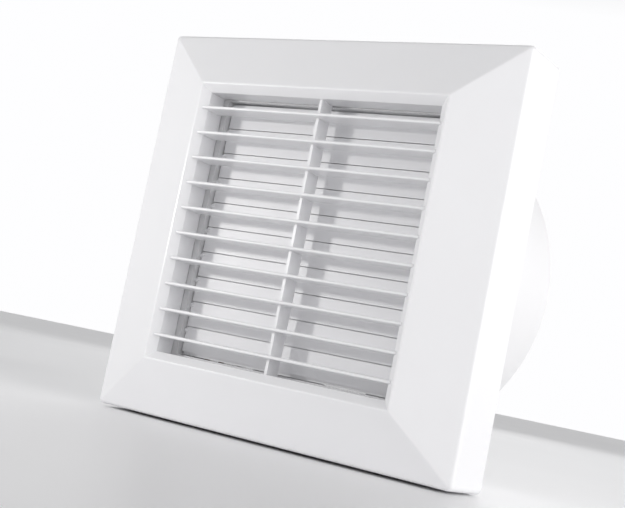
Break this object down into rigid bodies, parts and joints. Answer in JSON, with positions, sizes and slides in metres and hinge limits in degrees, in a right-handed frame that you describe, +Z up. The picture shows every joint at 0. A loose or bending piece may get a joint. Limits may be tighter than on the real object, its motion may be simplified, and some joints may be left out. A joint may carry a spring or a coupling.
{
  "type": "bathroom extractor fan",
  "caption": "Square white wall fan with a bevelled front, fixed grille blades, self-opening shutter flaps behind them and a round duct spigot with motor and impeller.",
  "frame": {"origin": "on the duct axis in the wall plane, which is the rear face of the housing's tray", "axes": "+Y along the duct axis into the wall, +Z up, +X to the right for someone facing the grille"},
  "size_m": [0.165, 0.096, 0.165],
  "materials": {
    "cover_abs": "semi-gloss white moulded ABS",
    "housing_abs": "satin white moulded ABS",
    "flap_abs": "satin white moulded ABS",
    "frame_abs": "satin off-white moulded plastic",
    "zinc_steel": "bright zinc plate",
    "bright_steel": "ground",
    "black_rubber": "matt",
    "actuator_can": "drawn",
    "strap_steel": "pressed and zinc plated",
    "brass": "turned",
    "carrier_plastic": "satin glass-filled nylon",
    "impeller_plastic": "satin moulded plastic",
    "cast_aluminium": "as cast",
    "lamination_steel": "stacked sheets, varnished",
    "rotor_metal": "turned",
    "enamelled_copper": "varnished wire",
    "bronze": "sintered, oiled",
    "terminal_plastic": "moulded polyamide",
    "lead_insulation": "extruded insulation"
  },
  "bodies": {
    "housing_body": {"front_cover": "cover_abs", "cover_screws": "zinc_steel", "housing": "housing_abs", "spigot_tube": "housing_abs", "wall_seal": "black_rubber", "shutter_frame": "frame_abs", "flap_retainer_left": "frame_abs", "flap_retainer_right": "frame_abs", "frame_screws": "zinc_steel", "actuator_body": "actuator_can", "actuator_cap": "actuator_can", "wax_capsule": "brass", "return_spring": "bright_steel", "actuator_straps": "strap_steel", "strap_screws": "zinc_steel", "motor_carrier": "carrier_plastic", "carrier_screws": "zinc_steel", "motor_rubbers": "black_rubber", "front_end_shield": "cast_aluminium", "rear_end_shield": "cast_aluminium", "stator_stack": "lamination_steel", "stator_windings": "enamelled_copper", "front_bearing": "bronze", "rear_bearing": "bronze", "motor_screws": "zinc_steel", "terminal_block": "terminal_plastic", "terminal_clamps": "brass", "terminal_screws": "zinc_steel", "cable_grommet": "black_rubber", "motor_leads": "lead_insulation"},
    "flap_01": {"shutter_flap_01": "flap_abs"},
    "flap_02": {"shutter_flap_02": "flap_abs"},
    "flap_03": {"shutter_flap_03": "flap_abs"},
    "flap_04": {"shutter_flap_04": "flap_abs"},
    "flap_05": {"shutter_flap_05": "flap_abs"},
    "flap_06": {"shutter_flap_06": "flap_abs"},
    "flap_07": {"shutter_flap_07": "flap_abs"},
    "flap_08": {"shutter_flap_08": "flap_abs"},
    "flap_09": {"shutter_flap_09": "flap_abs"},
    "flap_10": {"shutter_flap_10": "flap_abs"},
    "link": {"link_bar": "frame_abs"},
    "plunger": {"actuator_plunger": "bright_steel"},
    "fan": {"impeller": "impeller_plastic", "impeller_nut": "zinc_steel", "motor_shaft": "bright_steel", "rotor": "rotor_metal"}
  },
  "joints": [
    {"name": "flap_01_hinge", "type": "hinge", "parent": "housing_body", "child": "flap_01", "pos_m": [0, -0.0188, 0.0525], "axis": [1, 0, 0], "range_deg": [0, 80]},
    {"name": "flap_02_hinge", "type": "hinge", "parent": "housing_body", "child": "flap_02", "pos_m": [0, -0.0188, 0.04175], "axis": [1, 0, 0], "range_deg": [0, 80]},
    {"name": "flap_03_hinge", "type": "hinge", "parent": "housing_body", "child": "flap_03", "pos_m": [0, -0.0188, 0.031], "axis": [1, 0, 0], "range_deg": [0, 80]},
    {"name": "flap_04_hinge", "type": "hinge", "parent": "housing_body", "child": "flap_04", "pos_m": [0, -0.0188, 0.02025], "axis": [1, 0, 0], "range_deg": [0, 80]},
    {"name": "flap_05_hinge", "type": "hinge", "parent": "housing_body", "child": "flap_05", "pos_m": [0, -0.0188, 0.0095], "axis": [1, 0, 0], "range_deg": [0, 80]},
    {"name": "flap_06_hinge", "type": "hinge", "parent": "housing_body", "child": "flap_06", "pos_m": [0, -0.0188, -0.00125], "axis": [1, 0, 0], "range_deg": [0, 80]},
    {"name": "flap_07_hinge", "type": "hinge", "parent": "housing_body", "child": "flap_07", "pos_m": [0, -0.0188, -0.012], "axis": [1, 0, 0], "range_deg": [0, 80]},
    {"name": "flap_08_hinge", "type": "hinge", "parent": "housing_body", "child": "flap_08", "pos_m": [0, -0.0188, -0.02275], "axis": [1, 0, 0], "range_deg": [0, 80]},
    {"name": "flap_09_hinge", "type": "hinge", "parent": "housing_body", "child": "flap_09", "pos_m": [0, -0.0188, -0.0335], "axis": [1, 0, 0], "range_deg": [0, 80]},
    {"name": "flap_10_hinge", "type": "hinge", "parent": "housing_body", "child": "flap_10", "pos_m": [0, -0.0188, -0.04425], "axis": [1, 0, 0], "range_deg": [0, 80]},
    {"name": "link_bar_pivot", "type": "hinge", "parent": "flap_01", "child": "link", "pos_m": [0, -0.0142, 0.04864], "axis": [1, 0, 0], "range_deg": [-80, 0]},
    {"name": "plunger_slide", "type": "slide", "parent": "housing_body", "child": "plunger", "axis": [0, 0, 1], "range_m": [0, 0.00771], "stiffness_N_per_m": 295, "springref_m": -0.00497, "deforming": ["return_spring"]},
    {"name": "fan_spin", "type": "hinge", "parent": "housing_body", "child": "fan", "pos_m": [0, 0, 0], "axis": [0, 1, 0], "continuous": true}
  ],
  "couplings": [
    {"joint": "flap_01_hinge", "follows": "plunger_slide", "rad_per_m": 181.03},
    {"joint": "flap_02_hinge", "follows": "plunger_slide", "rad_per_m": 181.03},
    {"joint": "flap_03_hinge", "follows": "plunger_slide", "rad_per_m": 181.03},
    {"joint": "flap_04_hinge", "follows": "plunger_slide", "rad_per_m": 181.03},
    {"joint": "flap_05_hinge", "follows": "plunger_slide", "rad_per_m": 181.03},
    {"joint": "flap_06_hinge", "follows": "plunger_slide", "rad_per_m": 181.03},
    {"joint": "flap_07_hinge", "follows": "plunger_slide", "rad_per_m": 181.03},
    {"joint": "flap_08_hinge", "follows": "plunger_slide", "rad_per_m": 181.03},
    {"joint": "flap_09_hinge", "follows": "plunger_slide", "rad_per_m": 181.03},
    {"joint": "flap_10_hinge", "follows": "plunger_slide", "rad_per_m": 181.03},
    {"joint": "link_bar_pivot", "follows": "plunger_slide", "rad_per_m": -181.03}
  ]
}
